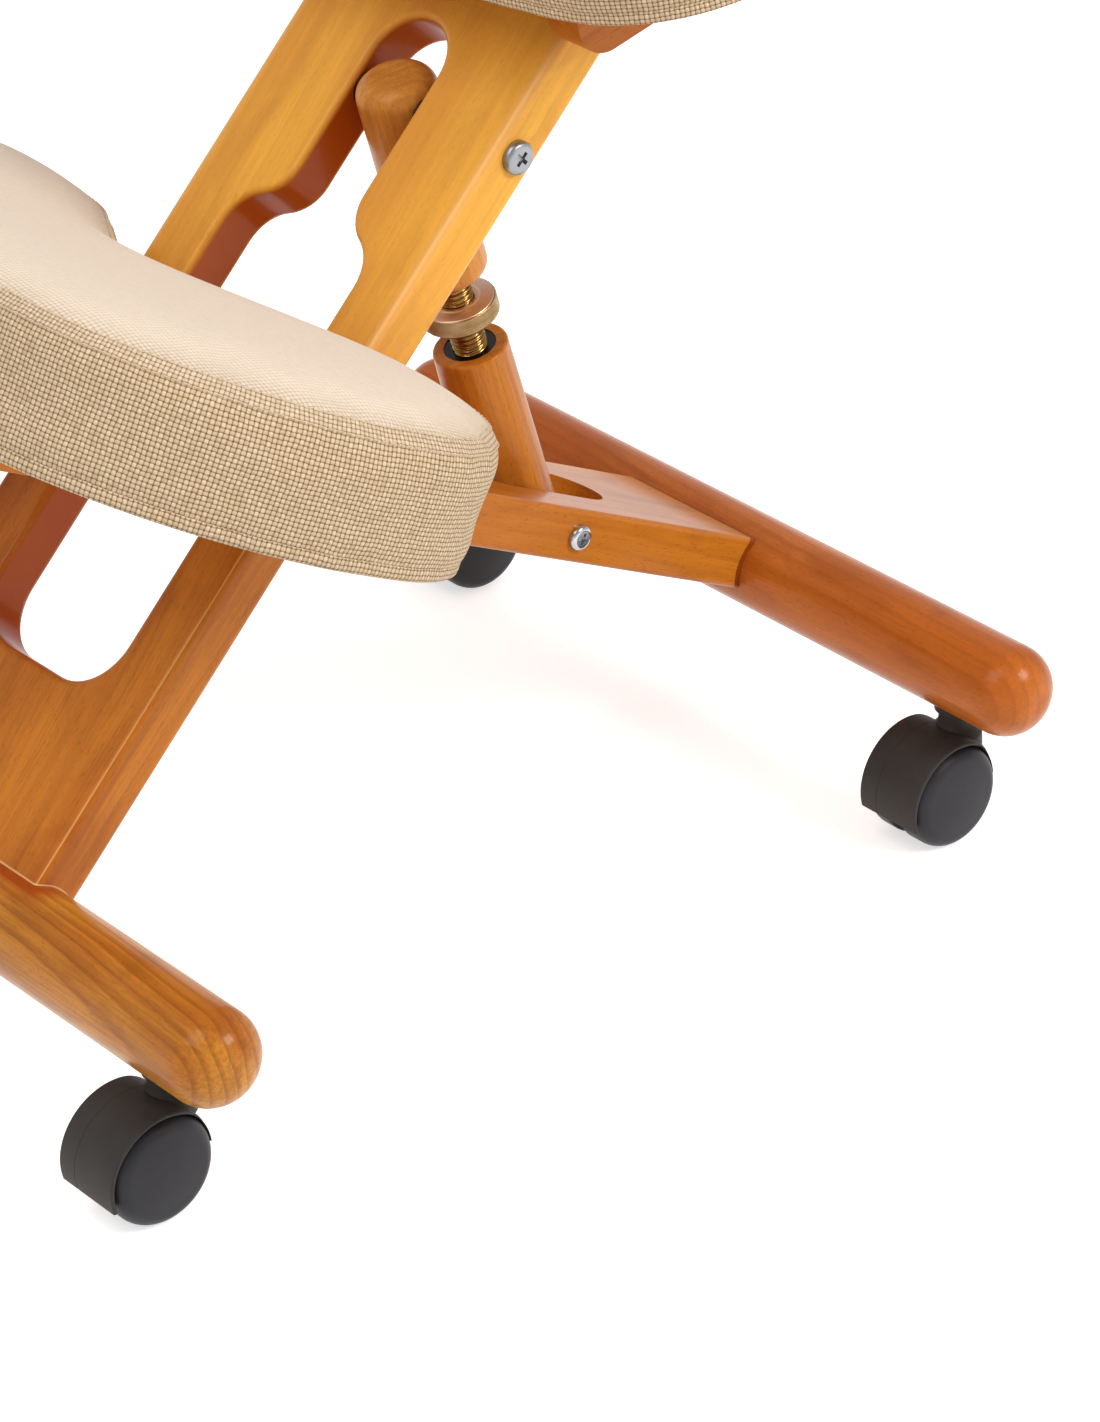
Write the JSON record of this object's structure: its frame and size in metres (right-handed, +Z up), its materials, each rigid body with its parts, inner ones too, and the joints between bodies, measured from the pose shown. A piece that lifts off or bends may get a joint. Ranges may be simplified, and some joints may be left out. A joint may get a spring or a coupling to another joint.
{
  "type": "kneeling stool",
  "caption": "Wooden kneeling stool with a slanting main board, a crossing leg board with a knee pad, a screw that sets the angle, and swivelling casters.",
  "frame": {"origin": "on the floor, in the middle of the stool's bounding box", "axes": "+X to the right as one sits, +Y to the back, +Z up"},
  "size_m": [0.436, 0.5869, 0.5662],
  "materials": {
    "lacquered_board": "satin lacquer, honey coloured",
    "lacquered_bar": "satin lacquer, reddish honey",
    "lacquered_post": "satin lacquer, honey coloured",
    "plywood": "raw plywood",
    "woven_cover": "coarse cream basket weave over foam",
    "black_plastic": "matte",
    "yellow_zinc_steel": "yellow passivated zinc",
    "brass": "turned",
    "zinc_steel": "zinc plated",
    "chromed_steel": "polished"
  },
  "bodies": {
    "main_frame": {"front_base_bar": "lacquered_bar", "front_caster_sockets": "zinc_steel", "front_bar_bolts": "zinc_steel", "front_barrel_nuts": "zinc_steel", "main_board": "lacquered_board", "main_pivot_bolt": "chromed_steel", "main_pivot_nut": "chromed_steel", "pivot_washers": "zinc_steel", "upper_post_bolt": "chromed_steel", "upper_post_bolt_nut": "chromed_steel", "upper_post_spacers": "zinc_steel", "seat_bearers": "lacquered_board", "bearer_bolts": "chromed_steel", "seat_base_board": "plywood", "seat_board_screws": "zinc_steel", "seat_cushion": "woven_cover"},
    "leg_frame": {"rear_base_bar": "lacquered_bar", "rear_caster_sockets": "zinc_steel", "rear_bar_bolts": "zinc_steel", "rear_barrel_nuts": "zinc_steel", "leg_board": "lacquered_board", "pivot_sleeve": "zinc_steel", "post_pivot_screws": "chromed_steel", "knee_base_board": "plywood", "knee_board_screws": "zinc_steel", "knee_cushion": "woven_cover"},
    "lower_post_body": {"lower_post": "lacquered_post", "lower_post_bush": "black_plastic", "lower_post_sleeve": "zinc_steel"},
    "spindle": {"threaded_rod": "yellow_zinc_steel"},
    "adjuster": {"adjuster_wheel": "yellow_zinc_steel"},
    "upper_post_body": {"upper_post": "lacquered_post", "upper_post_insert": "brass", "upper_post_sleeve": "zinc_steel"},
    "front_left_caster": {"front_left_caster_stem": "zinc_steel", "front_left_caster_hood": "black_plastic", "front_left_caster_axle": "zinc_steel"},
    "front_left_left_wheel": {"front_left_caster_left_wheel": "black_plastic"},
    "front_left_right_wheel": {"front_left_caster_right_wheel": "black_plastic"},
    "front_right_caster": {"front_right_caster_stem": "zinc_steel", "front_right_caster_hood": "black_plastic", "front_right_caster_axle": "zinc_steel"},
    "front_right_left_wheel": {"front_right_caster_left_wheel": "black_plastic"},
    "front_right_right_wheel": {"front_right_caster_right_wheel": "black_plastic"},
    "rear_left_caster": {"rear_left_caster_stem": "zinc_steel", "rear_left_caster_hood": "black_plastic", "rear_left_caster_axle": "zinc_steel"},
    "rear_left_left_wheel": {"rear_left_caster_left_wheel": "black_plastic"},
    "rear_left_right_wheel": {"rear_left_caster_right_wheel": "black_plastic"},
    "rear_right_caster": {"rear_right_caster_stem": "zinc_steel", "rear_right_caster_hood": "black_plastic", "rear_right_caster_axle": "zinc_steel"},
    "rear_right_left_wheel": {"rear_right_caster_left_wheel": "black_plastic"},
    "rear_right_right_wheel": {"rear_right_caster_right_wheel": "black_plastic"}
  },
  "joints": [
    {"name": "height_adjust", "type": "hinge", "parent": "main_frame", "child": "leg_frame", "pos_m": [0, -0.10442, 0.23054], "axis": [-1, 0, 0], "range_deg": [-5, 7]},
    {"name": "lower_post_tilt", "type": "hinge", "parent": "leg_frame", "child": "lower_post_body", "pos_m": [0, 0.07866, 0.14124], "axis": [1, 0, 0], "range_deg": [-1.93, 2.7]},
    {"name": "spindle_slide", "type": "slide", "parent": "lower_post_body", "child": "spindle", "axis": [0, -0.2775, 0.9607], "range_m": [-0.00655, 0.00918]},
    {"name": "adjuster_turn", "type": "hinge", "parent": "spindle", "child": "adjuster", "pos_m": [0, 0.04814, 0.24692], "axis": [0, -0.2775, 0.9607], "range_deg": [-943.74, 1321.23]},
    {"name": "upper_post_slide", "type": "slide", "parent": "spindle", "child": "upper_post_body", "axis": [0, -0.2775, 0.9607], "range_m": [-0.00655, 0.00918]},
    {"name": "front_left_swivel", "type": "hinge", "parent": "main_frame", "child": "front_left_caster", "pos_m": [-0.166, -0.2499, 0.061], "axis": [0, 0, 1], "continuous": true},
    {"name": "front_left_left_roll", "type": "hinge", "parent": "front_left_caster", "child": "front_left_left_wheel", "pos_m": [-0.1768, -0.2644, 0.025], "axis": [1, 0, 0], "continuous": true},
    {"name": "front_left_right_roll", "type": "hinge", "parent": "front_left_caster", "child": "front_left_right_wheel", "pos_m": [-0.1552, -0.2644, 0.025], "axis": [1, 0, 0], "continuous": true},
    {"name": "front_right_swivel", "type": "hinge", "parent": "main_frame", "child": "front_right_caster", "pos_m": [0.166, -0.2499, 0.061], "axis": [0, 0, 1], "continuous": true},
    {"name": "front_right_left_roll", "type": "hinge", "parent": "front_right_caster", "child": "front_right_left_wheel", "pos_m": [0.1552, -0.2644, 0.025], "axis": [1, 0, 0], "continuous": true},
    {"name": "front_right_right_roll", "type": "hinge", "parent": "front_right_caster", "child": "front_right_right_wheel", "pos_m": [0.1768, -0.2644, 0.025], "axis": [1, 0, 0], "continuous": true},
    {"name": "rear_left_swivel", "type": "hinge", "parent": "leg_frame", "child": "rear_left_caster", "pos_m": [-0.166, 0.1991, 0.061], "axis": [0, 0, 1], "continuous": true},
    {"name": "rear_left_left_roll", "type": "hinge", "parent": "rear_left_caster", "child": "rear_left_left_wheel", "pos_m": [-0.1768, 0.1846, 0.025], "axis": [1, 0, 0], "continuous": true},
    {"name": "rear_left_right_roll", "type": "hinge", "parent": "rear_left_caster", "child": "rear_left_right_wheel", "pos_m": [-0.1552, 0.1846, 0.025], "axis": [1, 0, 0], "continuous": true},
    {"name": "rear_right_swivel", "type": "hinge", "parent": "leg_frame", "child": "rear_right_caster", "pos_m": [0.166, 0.1991, 0.061], "axis": [0, 0, 1], "continuous": true},
    {"name": "rear_right_left_roll", "type": "hinge", "parent": "rear_right_caster", "child": "rear_right_left_wheel", "pos_m": [0.1552, 0.1846, 0.025], "axis": [1, 0, 0], "continuous": true},
    {"name": "rear_right_right_roll", "type": "hinge", "parent": "rear_right_caster", "child": "rear_right_right_wheel", "pos_m": [0.1768, 0.1846, 0.025], "axis": [1, 0, 0], "continuous": true}
  ],
  "couplings": [
    {"joint": "lower_post_tilt", "follows": "height_adjust", "ratio": 0.386},
    {"joint": "spindle_slide", "follows": "height_adjust", "m_per_rad": 0.075063},
    {"joint": "adjuster_turn", "follows": "height_adjust", "ratio": 188.65},
    {"joint": "upper_post_slide", "follows": "height_adjust", "m_per_rad": 0.075063}
  ]
}
